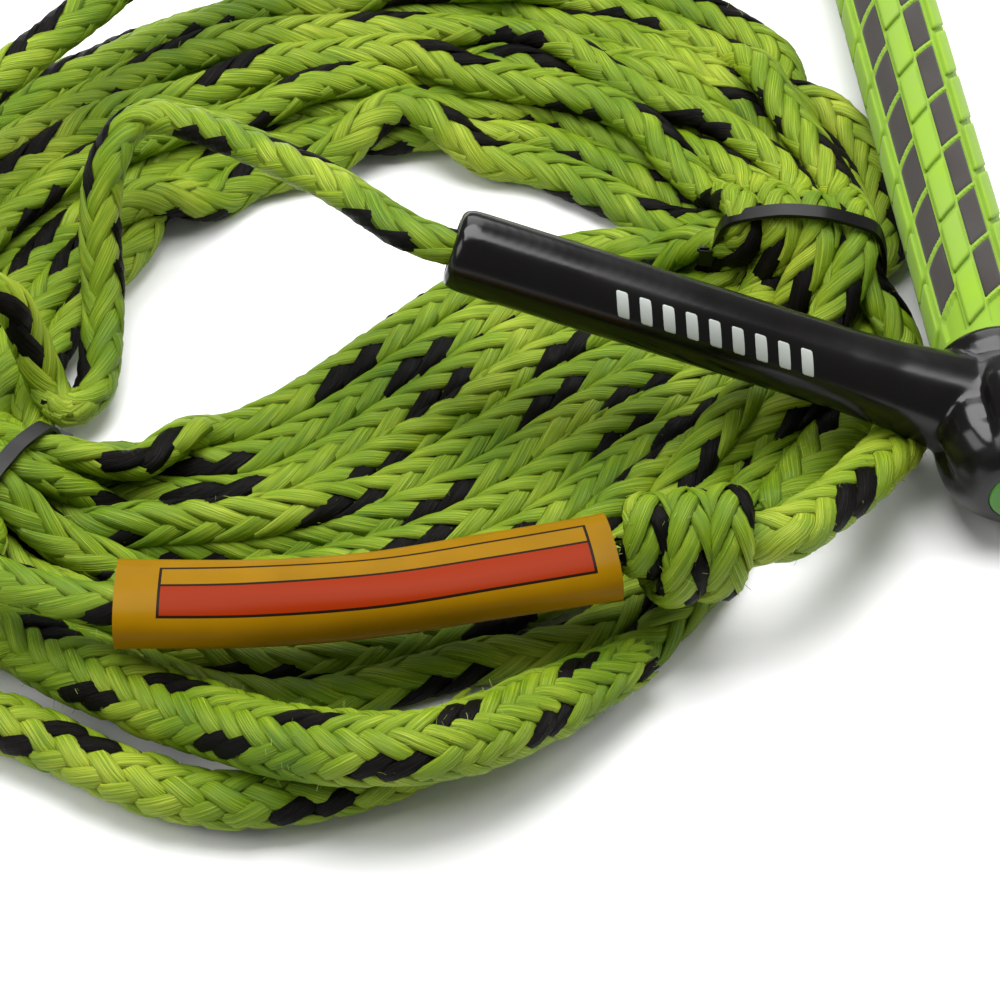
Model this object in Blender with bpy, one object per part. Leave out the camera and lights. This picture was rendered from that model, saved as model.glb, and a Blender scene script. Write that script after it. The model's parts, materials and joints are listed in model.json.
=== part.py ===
"""Tow rope handle: a rope-guard handle lying beside its tied coil of hollow braid rope.

Metres, +Z up. The bar runs along Y and its two arms point towards -X. The origin is on
the floor, under the middle of the handle.
"""
import math

import bmesh
import bpy
from mathutils import Matrix, Vector

MM = 0.001
GAP = 0.3                      # between touching pieces

# Handle
BAR_X, BAR_Z = 64.65, 22.0     # axis of the bar
JOINT_Y = 137.0                # where an arm's axis meets the bar's axis
MOUTH = (-83.35, 89.0, 60.0)   # centre of the +Y arm's mouth
ARM_R, ARM_ROOT_R = 11.5, 15.0
BORE_R, BORE_DEPTH = 7.4, 118.0
BULB = [(116.0, 16.6), (118.0, 17.6), (123.0, 17.8), (126.0, 16.8), (130.0, 18.4),
        (137.0, 21.3), (144.0, 22.0), (151.0, 21.2), (158.0, 18.4), (162.5, 14.8), (164.0, 12.4)]
LOBES, LOBE_DEPTH = 9, 0.055
TUBE_R, TUBE_WALL, TUBE_HALF = 11.0, 1.6, 132.0
UNDERLAY_R, SKIN_R, GRIP_HALF = 13.2, 15.0, 115.6
INSERT_R, INSERT_DEPTH = 10.4, 4.0

# Rope
ROPE_R, GRAB_R, SPLICE_R = 6.3, 10.0, 8.0
# Coil: centre x, y, width, height and underside of its cross-section, round the loop
COIL = [(20, -64, 49, 38, 3.4), (4, -93, 54, 27, 0.6), (-29, -108, 78, 20, 0.6),
        (-64, -122, 112, 18, 0.6), (-105, -138, 116, 19, 0.6), (-146, -149, 84, 24, 0.6),
        (-178, -143, 58, 32, 0.6), (-209, -130, 44, 38, 3.4), (-240, -98, 54, 38, 0.6),
        (-233, -48, 56, 35, 0.6), (-197, 2, 58, 33, 0.6), (-140, 28, 62, 31, 0.6),
        (-75, 34, 62, 31, 0.6), (-18, 14, 56, 33, 0.6), (17, -28, 50, 37, 0.6)]
COIL_POWER = 2.6
TIE_STATIONS = {"tie_right": 0, "tie_left": 7}
TIE_WIDTH, TIE_THICK = 4.6, 1.2

LEG_NEAR = [(-87.5, -87.9, 60.9), (-97, -82, 62), (-108, -67, 60), (-120, -52, 57), (-150, -20, 48),
            (-166, -14, 46), (-176, -26, 41), (-180, -40, 27), (-181, -56, 15), (-184, -78, 9)]
LEG_FAR = [(-198, -85, 14), (-201.5, -79, 27), (-206, -75, 40), (-217, -71.5, 47), (-230, -62, 48),
           (-236, -45, 46.5), (-228, -20, 45.5), (-208, 8, 44), (-180, 33, 46), (-148, 58, 53),
           (-118, 77, 61), (-98, 84.4, 63), (-87.5, 87.9, 60.9)]
GRAB = [(-271, -116, 11), (-263, -136, 11), (-248, -152, 11), (-231, -163, 12), (-212, -170, 12),
        (-199, -181, 12), (-181, -195, 14), (-164, -207, 16), (-139, -223, 22), (-114, -231, 26),
        (-93, -226, 22), (-70, -212, 15), (-45, -197, 10.6)]
SPLICE = [(-270, -165, 8.5), (-242, -183, 8.5), (-213, -198, 8.5), (-183, -222, 8.5),
          (-165, -231, 8.5), (-150, -234, 8.5)]
LEAD = [(-222, -161, 33), (-208, -171, 33), (-195, -177, 32.5), (-182, -180, 32), (-148, -184, 32),
        (-115, -185, 32), (-83, -183, 32.5), (-50.5, -180.3, 33)]
LOOP = [(-10.6, -179, 32.4), (-4.5, -178.7, 31.8), (3, -171, 27), (15, -160, 19), (26, -148, 12), (33, -137, 9),
        (36, -128, 8), (30, -120.5, 8), (21, -125, 8), (10, -138, 8), (-4, -154, 8)]
KNOT_FROM, KNOT_TO = (-49.5, -180.3, 33), (-12.5, -179, 32.5)
KNOT = [(0.0, 8.0), (0.10, 13.0), (0.22, 16.0), (0.34, 15.4), (0.42, 14.2), (0.50, 15.8), (0.62, 16.6),
        (0.72, 15.0), (0.80, 13.6), (0.88, 14.6), (0.95, 12.0), (1.0, 7.4)]
SLEEVE = [(-182, -180, 32), (-148, -184, 32), (-115, -185, 32), (-83, -183, 32.5), (-51.5, -180.6, 32.9)]
SLEEVE_W, SLEEVE_H, SLEEVE_WALL = 24.0, 15.8, 0.8

COLOURS = {
    "corner_plastic": (0.012, 0.012, 0.013), "insert_rubber": (0.22, 0.62, 0.03), "bar_metal": (0.70, 0.71, 0.72),
    "float_foam": (0.82, 0.80, 0.74), "grip_black": (0.02, 0.02, 0.021), "grip_green": (0.40, 0.78, 0.04),
    "rope": (0.36, 0.80, 0.04), "label_vinyl": (0.86, 0.62, 0.03), "tie_nylon": (0.015, 0.015, 0.016)}
SLOTS = {}


def material(slot):
    if slot not in SLOTS:
        made = bpy.data.materials.new(slot)
        made.use_nodes = True
        made.node_tree.nodes["Principled BSDF"].inputs["Base Color"].default_value = (*COLOURS[slot], 1)
        SLOTS[slot] = made
    return SLOTS[slot]


def mesh_object(name, slot, rings, closed_way=False, caps=True):
    """Skins rings of points, in millimetres, into one closed body."""
    shape = bmesh.new()
    rows = [[shape.verts.new(Vector(point) * MM) for point in ring] for ring in rings]
    pairs = list(zip(rows, rows[1:]))
    if closed_way:
        pairs.append((rows[-1], rows[0]))
    for low, high in pairs:
        for index in range(len(low)):
            after = (index + 1) % len(low)
            shape.faces.new((low[index], low[after], high[after], high[index]))
    if caps and not closed_way:
        shape.faces.new(rows[0][::-1])
        shape.faces.new(rows[-1])
    bmesh.ops.recalc_face_normals(shape, faces=shape.faces)
    data = bpy.data.meshes.new(name)
    shape.to_mesh(data)
    shape.free()
    data.materials.append(material(slot))
    made = bpy.data.objects.new(name, data)
    bpy.context.collection.objects.link(made)
    return made


def frame_along(direction):
    """Two unit vectors across a direction: a level one and the one above it."""
    ahead = Vector(direction).normalized()
    side = ahead.cross(Vector((0, 0, 1)))
    if side.length < 1e-6:
        side = Vector((1, 0, 0))
    side.normalize()
    return side, side.cross(ahead).normalized()


def turned(name, slot, start, direction, profile, count=32, shape=lambda turn: 1.0):
    """A body turned about a line; profile holds (distance along it, radius)."""
    ahead = Vector(direction).normalized()
    side, above = frame_along(ahead)
    rings = []
    for along, radius in profile:
        ring = []
        for step in range(count):
            turn = 2 * math.pi * step / count
            reach = radius * shape(turn)
            ring.append(Vector(start) + ahead * along
                        + side * (reach * math.cos(turn)) + above * (reach * math.sin(turn)))
        rings.append(ring)
    return mesh_object(name, slot, rings)


def pipe(name, slot, start, direction, length, outer, inner, count=32):
    ahead = Vector(direction).normalized()
    side, above = frame_along(ahead)
    rings = []
    for along, radius in ((0, outer), (length, outer), (length, inner), (0, inner)):
        rings.append([Vector(start) + ahead * along + side * (radius * math.cos(2 * math.pi * step / count))
                      + above * (radius * math.sin(2 * math.pi * step / count)) for step in range(count)])
    return mesh_object(name, slot, rings, closed_way=True)


def smooth_way(points, closed=False, steps=12):
    """Catmull-Rom points through a route."""
    route = [Vector(point) for point in points]
    count = len(route)
    way = []
    for index in range(count if closed else count - 1):
        if closed:
            a, b, c, d = (route[(index + shift) % count] for shift in (-1, 0, 1, 2))
        else:
            a, b = route[max(index - 1, 0)], route[index]
            c, d = route[index + 1], route[min(index + 2, count - 1)]
        for step in range(steps):
            t = step / steps
            way.append(0.5 * ((2 * b) + (c - a) * t + (2 * a - 5 * b + 4 * c - d) * t * t
                              + (3 * b - a - 3 * c + d) * t * t * t))
    if not closed:
        way.append(route[-1])
    return way


def even_way(points, spacing):
    """The smooth route again, with a point about every spacing."""
    way = smooth_way(points)
    run = [0.0]
    for before, after in zip(way, way[1:]):
        run.append(run[-1] + (after - before).length)
    count = max(2, round(run[-1] / spacing))
    even, index = [], 0
    for step in range(count + 1):
        target = run[-1] * step / count
        while index < len(run) - 2 and run[index + 1] < target:
            index += 1
        share = (target - run[index]) / max(run[index + 1] - run[index], 1e-9)
        even.append(way[index].lerp(way[index + 1], min(max(share, 0), 1)))
    return even


def cord(name, points, radius, spacing=11.0):
    """A rope as a plain round tube."""
    data = bpy.data.curves.new(name, "CURVE")
    data.dimensions = "3D"
    data.bevel_depth = radius * MM
    data.bevel_resolution = 3
    data.use_fill_caps = True
    data.render_resolution_u = 0
    way = even_way(points, spacing)
    line = data.splines.new("POLY")
    line.points.add(len(way) - 1)
    for place, point in zip(line.points, way):
        place.co = (*(point * MM), 1)
    data.materials.append(material("rope"))
    made = bpy.data.objects.new(name, data)
    bpy.context.collection.objects.link(made)
    return made


def oval(width, height, count, power):
    """Points round a rounded box outline."""
    points = []
    for step in range(count):
        turn = 2 * math.pi * (step + 0.5) / count
        across, up = math.cos(turn), math.sin(turn)
        points.append((math.copysign(abs(across) ** (2 / power), across) * width / 2,
                       math.copysign(abs(up) ** (2 / power), up) * height / 2))
    return points


def cut(body, cutter):
    """Takes a cutter out of a body and leaves the plain mesh."""
    change = body.modifiers.new("cut", "BOOLEAN")
    change.operation, change.solver, change.object = "DIFFERENCE", "EXACT", cutter
    bake(body, cutter)


def join(body, extra):
    change = body.modifiers.new("join", "BOOLEAN")
    change.operation, change.solver, change.object = "UNION", "EXACT", extra
    bake(body, extra)


def bake(body, other):
    bpy.context.view_layer.update()
    seen = body.evaluated_get(bpy.context.evaluated_depsgraph_get())
    data = bpy.data.meshes.new_from_object(seen)
    body.modifiers.clear()
    body.data = data
    bpy.data.objects.remove(other)


def corner(name, side):
    """End cap, collar, fluted bulb and rope-guard arm: one moulding."""
    def lobed(turn):
        return 1 - LOBE_DEPTH * abs(math.sin(LOBES * turn / 2)) ** 6

    bulb = [(along - BULB[0][0], radius) for along, radius in BULB]
    body = turned(name, "corner_plastic", (BAR_X, side * BULB[0][0], BAR_Z), (0, side, 0), bulb, 72, lobed)
    mouth = Vector((MOUTH[0], side * MOUTH[1], MOUTH[2]))
    root = Vector((BAR_X, side * JOINT_Y, BAR_Z))
    way = root - mouth
    reach = way.length
    arm = [(0, BORE_R + 1.2), (0.9, ARM_R - 1.0), (2.6, ARM_R - 0.2), (5.5, ARM_R), (reach * 0.70, ARM_R),
           (reach * 0.80, ARM_R + 0.7), (reach * 0.87, ARM_R + 2.0), (reach - 8, ARM_ROOT_R), (reach, ARM_ROOT_R - 2)]
    join(body, turned("arm", "corner_plastic", mouth, way, arm, 36))
    cut(body, turned("bore", "corner_plastic", mouth - way.normalized() * 4, way,
                     [(0, BORE_R), (BORE_DEPTH + 4, BORE_R)], 32))
    cut(body, turned("socket", "corner_plastic", (BAR_X, side * (BULB[0][0] - 5), BAR_Z), (0, side, 0),
                     [(0, TUBE_R + GAP), (TUBE_HALF + GAP - BULB[0][0] + 5, TUBE_R + GAP)], 36))
    cut(body, turned("pocket", "corner_plastic", (BAR_X, side * (BULB[-1][0] - INSERT_DEPTH), BAR_Z),
                     (0, side, 0), [(0, INSERT_R + GAP), (INSERT_DEPTH + 5, INSERT_R + GAP)], 36))
    return body


def insert(name, side):
    start = BULB[-1][0] - INSERT_DEPTH + GAP
    rim = BULB[-1][0] - start
    return turned(name, "insert_rubber", (BAR_X, side * start, BAR_Z), (0, side, 0),
                  [(0, INSERT_R), (rim, INSERT_R), (rim + 1.0, INSERT_R - 1.2)], 32)


def rope_inside(name, side):
    """The rope in an arm's bore, from its mouth to its blind end."""
    mouth = Vector((MOUTH[0], side * MOUTH[1], MOUTH[2]))
    way = (Vector((BAR_X, side * JOINT_Y, BAR_Z)) - mouth).normalized()
    return turned(name, "rope", mouth + way * 0.6, way, [(0, 6.5), (BORE_DEPTH - 2, 6.5)], 20)


def coil_section(index_part, extra=0.0):
    """Centre, heading, width, height and underside of the coil, index_part stations round."""
    count = len(COIL)
    low = int(math.floor(index_part)) % count
    t = index_part - math.floor(index_part)
    a, b, c, d = (COIL[(low + shift) % count] for shift in (-1, 0, 1, 2))
    values, slopes = [], []
    for p, q, r, s in zip(a, b, c, d):
        values.append(0.5 * (2 * q + (r - p) * t + (2 * p - 5 * q + 4 * r - s) * t ** 2
                             + (3 * q - p - 3 * r + s) * t ** 3))
        slopes.append(0.5 * ((r - p) + 2 * (2 * p - 5 * q + 4 * r - s) * t + 3 * (3 * q - p - 3 * r + s) * t ** 2))
    heading = Vector((slopes[0], slopes[1], 0)).normalized()
    return values, heading


def coil_ring(index_part, grow=0.0, shift=0.0, count=16):
    (x, y, width, height, under), heading = coil_section(index_part)
    side = Vector((-heading.y, heading.x, 0))
    centre = Vector((x, y, under + height / 2)) + heading * shift
    return [centre + side * across + Vector((0, 0, up))
            for across, up in oval(width + 2 * grow, height + 2 * grow, count, COIL_POWER)]


def coil():
    steps = 6
    rings = [coil_ring(step / steps) for step in range(len(COIL) * steps)]
    return mesh_object("main_line_coil", "rope", rings, closed_way=True)


def tie(name, station):
    """Cable tie: a strap round the coil and its locking head."""
    inner, outer = 5 * GAP, 5 * GAP + TIE_THICK
    half = TIE_WIDTH / 2
    loops = [coil_ring(station, grow, shift, 48) for grow, shift in
             ((outer, -half), (outer, half), (inner, half), (inner, -half))]
    strap = mesh_object(name, "tie_nylon", loops, closed_way=True)
    (x, y, width, height, under), heading = coil_section(station)
    side = Vector((-heading.y, heading.x, 0))
    place = Vector((x, y, under + height + inner + 2.7)) + side * (width * 0.12)
    blocks = []
    for along in (-3.6, 3.6):
        blocks.append([place + heading * (along * 0.95) + side * across + Vector((0, 0, up))
                       for across, up in ((-3.6, -2.6), (3.6, -2.6), (3.6, 2.4), (-3.6, 2.4))])
    join(strap, mesh_object("head", "tie_nylon", blocks))
    return strap


def sleeve():
    """Label sleeve: a flattened thin tube round the lead."""
    way = even_way(SLEEVE, 12.0)
    rows = []
    for grow in (0.0, -SLEEVE_WALL):
        for index, point in enumerate(way if grow == 0 else way[::-1]):
            place = index if grow == 0 else len(way) - 1 - index
            ahead = way[min(place + 1, len(way) - 1)] - way[max(place - 1, 0)]
            side, above = frame_along(ahead)
            rows.append([point + side * across + above * up
                         for across, up in oval(SLEEVE_W + 2 * grow, SLEEVE_H + 2 * grow, 28, 2.4)])
    return mesh_object("label_sleeve", "label_vinyl", rows, closed_way=True)


def knot():
    start, end = Vector(KNOT_FROM), Vector(KNOT_TO)
    reach = (end - start).length
    return turned("boat_end_knot", "rope", start, end - start,
                  [(share * reach, radius) for share, radius in KNOT], 28)


for old in list(bpy.data.objects):
    bpy.data.objects.remove(old)

pipe("bar_tube", "bar_metal", (BAR_X, -TUBE_HALF, BAR_Z), (0, 1, 0), 2 * TUBE_HALF, TUBE_R, TUBE_R - TUBE_WALL)
turned("bar_float_core", "float_foam", (BAR_X, -TUBE_HALF + 1, BAR_Z), (0, 1, 0),
       [(0, TUBE_R - TUBE_WALL - GAP), (2 * TUBE_HALF - 2, TUBE_R - TUBE_WALL - GAP)], 28)
pipe("grip_underlay", "grip_black", (BAR_X, -GRIP_HALF, BAR_Z), (0, 1, 0), 2 * GRIP_HALF,
     UNDERLAY_R, TUBE_R + GAP, 36)
pipe("grip_skin", "grip_green", (BAR_X, -GRIP_HALF, BAR_Z), (0, 1, 0), 2 * GRIP_HALF,
     SKIN_R, UNDERLAY_R + GAP, 40)
for word, way in (("near", -1), ("far", 1)):
    corner(f"corner_{word}", way)
    insert(f"end_insert_{word}", way)
    rope_inside(f"arm_rope_{word}", way)

cord("bridle_leg_near", LEG_NEAR, ROPE_R)
cord("bridle_leg_far", LEG_FAR, ROPE_R)
cord("grab_section", GRAB, GRAB_R, 14.0)
cord("splice_section", SPLICE, SPLICE_R, 13.0)
cord("label_lead", LEAD, ROPE_R)
cord("boat_end_loop", LOOP, ROPE_R, 7.0)
knot()
sleeve()
coil()
for label, station in TIE_STATIONS.items():
    tie(label, station)
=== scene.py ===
import json
import math

import bmesh
import bpy
import numpy as np
from mathutils import Matrix, Vector

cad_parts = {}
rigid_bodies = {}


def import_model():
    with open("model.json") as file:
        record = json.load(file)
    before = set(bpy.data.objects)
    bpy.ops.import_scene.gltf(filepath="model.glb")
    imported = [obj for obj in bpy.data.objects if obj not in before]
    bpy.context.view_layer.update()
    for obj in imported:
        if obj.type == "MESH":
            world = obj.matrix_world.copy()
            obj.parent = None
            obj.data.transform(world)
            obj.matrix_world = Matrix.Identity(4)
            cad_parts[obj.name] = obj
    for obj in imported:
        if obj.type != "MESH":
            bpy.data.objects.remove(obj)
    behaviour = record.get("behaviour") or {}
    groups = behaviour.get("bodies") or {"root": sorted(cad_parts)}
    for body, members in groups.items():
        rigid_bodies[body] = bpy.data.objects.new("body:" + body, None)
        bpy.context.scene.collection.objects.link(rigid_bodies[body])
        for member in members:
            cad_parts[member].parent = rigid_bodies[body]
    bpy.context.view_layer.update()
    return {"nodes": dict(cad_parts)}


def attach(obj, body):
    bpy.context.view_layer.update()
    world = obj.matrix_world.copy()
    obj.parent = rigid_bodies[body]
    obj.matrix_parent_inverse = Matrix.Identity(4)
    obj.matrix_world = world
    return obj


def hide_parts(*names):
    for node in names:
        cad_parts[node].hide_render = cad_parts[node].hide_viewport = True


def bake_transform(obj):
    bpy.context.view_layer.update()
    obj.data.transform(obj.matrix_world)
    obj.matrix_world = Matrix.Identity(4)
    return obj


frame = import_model()
mm = 0.001
upward = np.array([0.0, 0.0, 1.0])

# where the rope lies, in millimetres: the same routes as its CAD solids
routes = {
    "nearLeg": [(-87.5, -87.9, 60.9), (-97, -82, 62), (-108, -67, 60), (-120, -52, 57), (-150, -20, 48),
                (-166, -14, 46), (-176, -26, 41), (-180, -40, 27), (-181, -56, 15), (-184, -78, 9)],
    "farLeg": [(-198, -85, 14), (-201.5, -79, 27), (-206, -75, 40), (-217, -71.5, 47), (-230, -62, 48),
               (-236, -45, 46.5), (-228, -20, 45.5), (-208, 8, 44), (-180, 33, 46), (-148, 58, 53),
               (-118, 77, 61), (-98, 84.4, 63), (-87.5, 87.9, 60.9)],
    "grab": [(-271, -116, 11), (-263, -136, 11), (-248, -152, 11), (-231, -163, 12), (-212, -170, 12),
             (-199, -181, 12), (-181, -195, 14), (-164, -207, 16), (-139, -223, 22), (-114, -231, 26),
             (-93, -226, 22), (-70, -212, 15), (-45, -197, 10.6)],
    "splice": [(-270, -165, 8.5), (-242, -183, 8.5), (-213, -198, 8.5), (-183, -222, 8.5),
               (-165, -231, 8.5), (-150, -234, 8.5)],
    "lead": [(-222, -161, 33), (-208, -171, 33), (-195, -177, 32.5), (-182, -180, 32), (-148, -184, 32),
             (-115, -185, 32), (-83, -183, 32.5), (-50.5, -180.3, 33)],
    "loop": [(-10.6, -179, 32.4), (-4.5, -178.7, 31.8), (3, -171, 27), (15, -160, 19), (26, -148, 12),
             (33, -137, 9), (36, -128, 8), (30, -120.5, 8), (21, -125, 8), (10, -138, 8), (-4, -154, 8)],
    "sleeve": [(-182, -180, 32), (-148, -184, 32), (-115, -185, 32), (-83, -183, 32.5),
               (-51.5, -180.6, 32.9)],
    "knot": [(-49.5, -180.3, 33), (-12.5, -179, 32.5)],
}


# lines
def smoothWay(points, closed=False, steps=14):
    route = np.array(points, float)
    count = len(route)
    way = []
    for index in range(count if closed else count - 1):
        if closed:
            a, b, c, d = (route[(index + shift) % count] for shift in (-1, 0, 1, 2))
        else:
            a, b = route[max(index - 1, 0)], route[index]
            c, d = route[index + 1], route[min(index + 2, count - 1)]
        for step in range(steps):
            t = step / steps
            way.append(0.5 * (2 * b + (c - a) * t + (2 * a - 5 * b + 4 * c - d) * t * t
                              + (3 * b - a - 3 * c + d) * t ** 3))
    if not closed:
        way.append(route[-1])
    return np.array(way)


def runAlong(way):
    return np.concatenate([[0], np.cumsum(np.linalg.norm(np.diff(way, axis=0), axis=1))])


def evenWay(way, spacing):
    run = runAlong(way)
    at = np.linspace(0, run[-1], max(4, int(round(run[-1] / spacing)) + 1))
    return np.stack([np.interp(at, run, way[:, axis]) for axis in range(3)], 1)


def unit(rows):
    return rows / np.maximum(np.linalg.norm(rows, axis=-1, keepdims=True), 1e-9)


def softened(rows, rounds):
    rows = rows.copy()
    for _ in range(rounds):
        rows[1:-1] = rows[1:-1] * 0.5 + (rows[:-2] + rows[2:]) * 0.25
    return rows


def framesAlong(way, roll, up=upward):
    ahead = unit(np.gradient(way, axis=0))
    flat = np.cross(ahead, np.broadcast_to(up, ahead.shape))
    steep = np.linalg.norm(flat, axis=1) < 0.3
    for index in range(1, len(flat)):  # carry the last good direction through steep stretches
        if steep[index]:
            flat[index] = flat[index - 1]
        elif flat[index] @ flat[index - 1] < 0:
            flat[index] = -flat[index]
    flat = unit(softened(unit(flat), 8))
    flat = unit(flat - ahead * np.sum(flat * ahead, axis=1, keepdims=True))
    rise = np.cross(flat, ahead)
    turn = np.interp(np.linspace(0, 1, len(way)), np.linspace(0, 1, len(np.atleast_1d(roll))),
                     np.atleast_1d(roll))[:, None]
    return ahead, flat * np.cos(turn) + rise * np.sin(turn), rise * np.cos(turn) - flat * np.sin(turn)


def wander(count, seed, size):  # a slow random swing, for roll and slack
    dice = np.random.default_rng(seed)
    knots = dice.normal(size=max(4, count)) * size
    return smoothWay(np.stack([knots, knots, knots], 1), steps=6)[:, 0]


# meshes
def meshFrom(name, points, faces, finishes, faceSlots=None, uvs=None):
    data = bpy.data.meshes.new(name)
    data.vertices.add(len(points))
    data.vertices.foreach_set("co", np.asarray(points, np.float32).reshape(-1))
    data.loops.add(faces.size)
    data.loops.foreach_set("vertex_index", faces.reshape(-1).astype(np.int32))
    data.polygons.add(len(faces))
    data.polygons.foreach_set("loop_start", (np.arange(len(faces)) * faces.shape[1]).astype(np.int32))
    if faceSlots is not None:
        data.polygons.foreach_set("material_index", np.asarray(faceSlots, np.int32))
    data.polygons.foreach_set("use_smooth", np.ones(len(faces), bool))
    if uvs is not None:
        layer = data.uv_layers.new(name="lay")
        layer.data.foreach_set("uv", np.asarray(uvs, np.float32).reshape(-1))
    data.update(calc_edges=True)
    for finish in finishes:
        data.materials.append(finish)
    made = bpy.data.objects.new(name, data)
    bpy.context.scene.collection.objects.link(made)
    return made


def skinRings(name, rings, finishes, closedWay=False, caps=True, uvs=None):
    rows, around = len(rings), len(rings[0])
    shape = bmesh.new()
    layer = shape.loops.layers.uv.new("lay") if uvs is not None else None
    grid = [[shape.verts.new(Vector(point) * mm) for point in ring] for ring in rings]
    for row in range(rows if closedWay else rows - 1):
        after = (row + 1) % rows
        for column in range(around):
            beside = (column + 1) % around
            face = shape.faces.new((grid[row][column], grid[after][column],
                                    grid[after][beside], grid[row][beside]))
            if layer:
                for loop, (r, c) in zip(face.loops, ((row, column), (row + 1, column),
                                                     (row + 1, column + 1), (row, column + 1))):
                    loop[layer].uv = (uvs[0][min(r, rows - 1)], uvs[1][c])
    if caps and not closedWay:
        shape.faces.new(grid[0][::-1])
        shape.faces.new(grid[-1])
    bmesh.ops.recalc_face_normals(shape, faces=shape.faces)
    data = bpy.data.meshes.new(name)
    shape.to_mesh(data)
    shape.free()
    for finish in finishes:
        data.materials.append(finish)
    data.shade_smooth()
    made = bpy.data.objects.new(name, data)
    bpy.context.scene.collection.objects.link(made)
    return made


def settle(made):  # turns live modifiers into a plain mesh
    bpy.context.view_layer.update()
    seen = made.evaluated_get(bpy.context.evaluated_depsgraph_get())
    data = bpy.data.meshes.new_from_object(seen)
    made.modifiers.clear()
    made.data = data
    return made


def sharpen(made, degrees):
    made.data.shade_smooth()
    made.data.set_sharp_from_angle(angle=math.radians(degrees))


def turnedRings(start, direction, profile, count=48, shape=None):
    ahead = np.array(direction, float) / np.linalg.norm(direction)
    side = unit(np.cross(ahead, upward if abs(ahead[2]) < 0.9 else np.array([1.0, 0, 0])))
    above = np.cross(side, ahead)
    turns = 2 * np.pi * np.arange(count) / count
    rings = []
    for along, radius in profile:
        reach = radius * (shape(turns, along) if shape else np.ones(count))
        rings.append(np.array(start) + ahead * along + np.outer(reach * np.cos(turns), side)
                     + np.outer(reach * np.sin(turns), above))
    return rings


# finishes
def newFinish(name, colour, roughness, **more):
    finish = bpy.data.materials.new(name)
    finish.use_nodes = True
    tree = finish.node_tree
    shader = tree.nodes["Principled BSDF"]
    shader.inputs["Base Color"].default_value = (*colour, 1)
    shader.inputs["Roughness"].default_value = roughness
    for socket, value in more.items():
        shader.inputs[socket.replace("_", " ")].default_value = value
    return finish, tree, shader


def addNode(tree, kind, settings=None, **inputs):
    made = tree.nodes.new(kind)
    for key, value in (settings or {}).items():
        setattr(made, key, value)
    for key, value in inputs.items():
        socket = made.inputs[key.replace("_", " ")]
        if isinstance(value, bpy.types.NodeSocket):
            tree.links.new(value, socket)
        else:
            socket.default_value = value
    return made


def rampOf(tree, factor, stops):
    ramp = tree.nodes.new("ShaderNodeValToRGB")
    while len(ramp.color_ramp.elements) < len(stops):
        ramp.color_ramp.elements.new(0.5)
    for element, (place, colour) in zip(ramp.color_ramp.elements, stops):
        element.position = place
        element.color = (*colour, 1)
    tree.links.new(factor, ramp.inputs["Fac"])
    return ramp.outputs["Color"]


def addBump(tree, shader, height, strength, distance):
    bump = addNode(tree, "ShaderNodeBump", Height=height, Strength=strength, Distance=distance)
    tree.links.new(bump.outputs["Normal"], shader.inputs["Normal"])


strandGrain = {"along": 0.5, "across": 46.0, "fibreShare": 0.95, "patchScale": 38.0, "patchLow": 0.22,
               "patchHigh": 0.78, "bump": 0.7, "bumpDepth": 0.0008}


def strandFinish(name, stops, roughness, shine, glow):
    finish, tree, shader = newFinish(name, stops[1][1], roughness, Specular_IOR_Level=shine)
    if glow:
        shader.inputs["Subsurface Weight"].default_value = glow
        shader.inputs["Subsurface Radius"].default_value = (0.7, 1.0, 0.12)
        shader.inputs["Subsurface Scale"].default_value = 0.004
    lay = tree.nodes.new("ShaderNodeUVMap")
    lay.uv_map = "lay"
    spun = addNode(tree, "ShaderNodeMapping", Vector=lay.outputs["UV"],
                   Scale=(strandGrain["along"], strandGrain["across"], 1))
    fibres = addNode(tree, "ShaderNodeTexNoise", Vector=spun.outputs["Vector"], Scale=1.0, Detail=3.0,
                     Roughness=0.6)
    place = tree.nodes.new("ShaderNodeTexCoord")
    patches = addNode(tree, "ShaderNodeTexNoise", Vector=place.outputs["Object"],
                      Scale=strandGrain["patchScale"], Detail=2.0)
    both = addNode(tree, "ShaderNodeMath", {"operation": "MULTIPLY_ADD"})
    tree.links.new(fibres.outputs["Fac"], both.inputs[0])
    both.inputs[1].default_value = strandGrain["fibreShare"]
    milder = addNode(tree, "ShaderNodeMapRange", Value=patches.outputs["Fac"],
                     To_Min=strandGrain["patchLow"], To_Max=strandGrain["patchHigh"])
    tree.links.new(milder.outputs["Result"], both.inputs[2])
    drop = addNode(tree, "ShaderNodeMath", {"operation": "SUBTRACT"})
    tree.links.new(both.outputs[0], drop.inputs[0])
    drop.inputs[1].default_value = strandGrain["fibreShare"] / 2
    tree.links.new(rampOf(tree, drop.outputs[0], stops), shader.inputs["Base Color"])
    addBump(tree, shader, fibres.outputs["Fac"], strandGrain["bump"], strandGrain["bumpDepth"])
    return finish


def mouldedFinish(name, colour, roughness, grain, depth, **more):
    finish, tree, shader = newFinish(name, colour, roughness, **more)
    place = tree.nodes.new("ShaderNodeTexCoord")
    fine = addNode(tree, "ShaderNodeTexNoise", Vector=place.outputs["Object"], Scale=grain, Detail=3.0)
    broad = addNode(tree, "ShaderNodeTexNoise", Vector=place.outputs["Object"], Scale=45.0, Detail=3.0)
    rough = addNode(tree, "ShaderNodeMapRange", Value=broad.outputs["Fac"], From_Min=0.3, From_Max=0.7,
                    To_Min=roughness * 0.8, To_Max=min(1.0, roughness * 1.25))
    tree.links.new(rough.outputs["Result"], shader.inputs["Roughness"])
    darker, lighter = [c * 0.85 for c in colour], [min(1, c * 1.12) for c in colour]
    tint = rampOf(tree, broad.outputs["Fac"], [(0.25, darker), (0.75, lighter)])
    tree.links.new(tint, shader.inputs["Base Color"])
    addBump(tree, shader, fine.outputs["Fac"], 0.25, depth)
    return finish


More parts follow.
